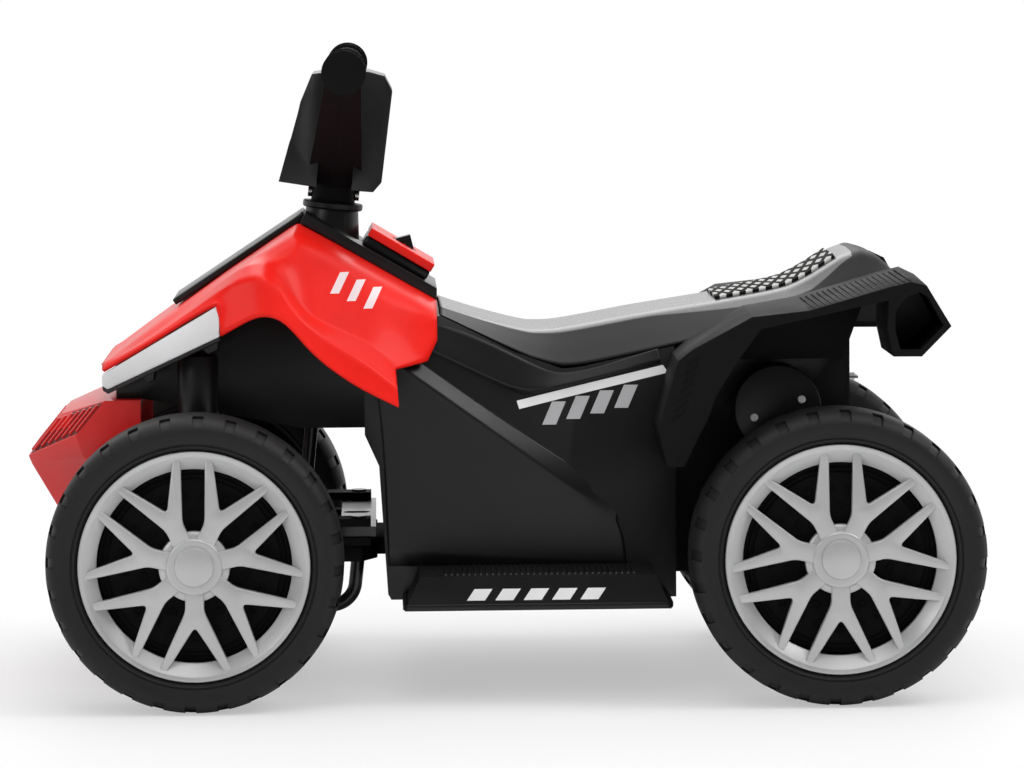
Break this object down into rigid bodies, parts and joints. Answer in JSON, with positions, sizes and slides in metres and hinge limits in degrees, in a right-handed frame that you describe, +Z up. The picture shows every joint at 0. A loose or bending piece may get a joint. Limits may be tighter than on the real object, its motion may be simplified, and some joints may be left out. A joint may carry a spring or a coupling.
{
  "type": "kids quad bike",
  "caption": "Battery ride-on quad bike for a small child, with a steered front axle, a geared rear wheel drive, a lifting saddle and a foot pedal.",
  "frame": {"origin": "on the ground, under the middle of the vehicle's length and width", "axes": "+X forward, +Y to the rider's left, +Z up"},
  "size_m": [0.75, 0.4388, 0.5096],
  "materials": {
    "black_plastic": "satin moulded polypropylene",
    "pad_plastic": "anti-slip checker texture",
    "red_plastic": "glossy moulded plastic",
    "silver_trim": "silver-white lacquer",
    "silver_plastic": "silver-grey satin paint",
    "rim_plastic": "satin",
    "tyre": "matt foam rubber",
    "gearbox_plastic": "satin",
    "gear_plastic": "natural nylon",
    "zinc_steel": "bright zinc plate",
    "motor_steel": "drawn can",
    "battery_case": "matt",
    "strap_webbing": "woven"
  },
  "bodies": {
    "chassis": {"body_shell": "black_plastic", "floor_pan": "black_plastic", "front_fairing": "red_plastic", "bonnet_strip": "black_plastic", "top_cover": "black_plastic", "dash_plinth": "black_plastic", "dash_bezel": "red_plastic", "headlight_trims": "silver_trim", "headlight_backings": "black_plastic", "front_bumper": "red_plastic", "rear_fender_left": "black_plastic", "rear_fender_right": "black_plastic", "rear_axle": "zinc_steel", "rear_axle_nuts": "zinc_steel", "gearbox_case": "gearbox_plastic", "gearbox_cover": "gearbox_plastic", "gearbox_screws": "zinc_steel", "drive_motor": "motor_steel", "idler_pin": "zinc_steel", "front_axle_frame": "black_plastic", "kingpins": "zinc_steel", "battery": "battery_case", "battery_strap": "strap_webbing", "charge_socket": "black_plastic", "pedal_bracket": "black_plastic", "rear_wing_screw": "zinc_steel"},
    "steering_column": {"steering_rod": "zinc_steel", "handlebar_front": "black_plastic", "handlebar_rear": "black_plastic", "head_mask": "black_plastic", "head_console": "black_plastic", "column_bolt": "zinc_steel"},
    "left_knuckle_body": {"knuckle_left": "black_plastic", "tie_pin_left": "zinc_steel", "stub_axle_left": "zinc_steel", "axle_nut_left": "zinc_steel"},
    "right_knuckle_body": {"knuckle_right": "black_plastic", "tie_pin_right": "zinc_steel", "stub_axle_right": "zinc_steel", "axle_nut_right": "zinc_steel"},
    "tie_bar": {"tie_rod": "black_plastic"},
    "wheel_front_left": {"tyre_front_left": "tyre", "rim_front_left": "rim_plastic", "wheel_cover_front_left": "silver_plastic"},
    "wheel_front_right": {"tyre_front_right": "tyre", "rim_front_right": "rim_plastic", "wheel_cover_front_right": "silver_plastic"},
    "wheel_rear_left": {"tyre_rear_left": "tyre", "rim_rear_left": "rim_plastic", "wheel_cover_rear_left": "silver_plastic", "output_gear": "gear_plastic"},
    "wheel_rear_right": {"tyre_rear_right": "tyre", "rim_rear_right": "rim_plastic", "wheel_cover_rear_right": "silver_plastic"},
    "idler": {"idler_gear": "gear_plastic"},
    "pinion": {"motor_pinion": "gear_plastic"},
    "saddle": {"seat": "black_plastic", "seat_pad": "pad_plastic"},
    "switch_rocker": {"direction_switch": "red_plastic"},
    "pedal": {"accelerator_pedal": "black_plastic"}
  },
  "joints": [
    {"name": "handlebar_steering", "type": "hinge", "parent": "chassis", "child": "steering_column", "pos_m": [0.1187, 0, 0.4926], "axis": [-0.1063, 0, 0.9943], "range_deg": [-35, 35]},
    {"name": "left_knuckle_swivel", "type": "hinge", "parent": "chassis", "child": "left_knuckle_body", "pos_m": [0.2376, 0.092, 0.115], "axis": [0, 0, 1], "range_deg": [-13, 13]},
    {"name": "right_knuckle_swivel", "type": "hinge", "parent": "chassis", "child": "right_knuckle_body", "pos_m": [0.2376, -0.092, 0.115], "axis": [0, 0, 1], "range_deg": [-13, 13]},
    {"name": "tie_rod_shift", "type": "slide", "parent": "chassis", "child": "tie_bar", "axis": [0, -1, 0], "range_m": [-0.028, 0.028]},
    {"name": "front_left_wheel_spin", "type": "hinge", "parent": "left_knuckle_body", "child": "wheel_front_left", "pos_m": [0.2376, 0.18, 0.115], "axis": [0, 1, 0], "continuous": true},
    {"name": "front_right_wheel_spin", "type": "hinge", "parent": "right_knuckle_body", "child": "wheel_front_right", "pos_m": [0.2376, -0.18, 0.115], "axis": [0, 1, 0], "continuous": true},
    {"name": "rear_left_wheel_spin", "type": "hinge", "parent": "chassis", "child": "wheel_rear_left", "pos_m": [-0.26, 0.18, 0.115], "axis": [0, 1, 0], "continuous": true},
    {"name": "rear_right_wheel_spin", "type": "hinge", "parent": "chassis", "child": "wheel_rear_right", "pos_m": [-0.26, -0.18, 0.115], "axis": [0, 1, 0], "continuous": true},
    {"name": "idler_gear_spin", "type": "hinge", "parent": "chassis", "child": "idler", "pos_m": [-0.23478, 0.113, 0.18244], "axis": [0, 1, 0], "continuous": true},
    {"name": "motor_pinion_spin", "type": "hinge", "parent": "chassis", "child": "pinion", "pos_m": [-0.21903, 0.113, 0.22459], "axis": [0, 1, 0], "continuous": true},
    {"name": "seat_lift", "type": "hinge", "parent": "chassis", "child": "saddle", "pos_m": [0.04516, 0, 0.30505], "axis": [0, 1, 0], "range_deg": [0, 40]},
    {"name": "direction_switch_tilt", "type": "hinge", "parent": "chassis", "child": "switch_rocker", "pos_m": [0.07373, 0, 0.34769], "axis": [0, 1, 0], "range_deg": [-10, 10]},
    {"name": "accelerator_press", "type": "hinge", "parent": "chassis", "child": "pedal", "pos_m": [0.04, -0.148, 0.112], "axis": [0, -1, 0], "range_deg": [0, 9], "stiffness_Nm_per_rad": 1, "springref_deg": -2.86}
  ],
  "couplings": [
    {"joint": "left_knuckle_swivel", "follows": "handlebar_steering", "ratio": 0.359},
    {"joint": "right_knuckle_swivel", "follows": "handlebar_steering", "ratio": 0.359},
    {"joint": "tie_rod_shift", "follows": "handlebar_steering", "m_per_rad": 0.0451},
    {"joint": "idler_gear_spin", "follows": "rear_left_wheel_spin", "ratio": -5},
    {"joint": "motor_pinion_spin", "follows": "rear_left_wheel_spin", "ratio": 25}
  ]
}
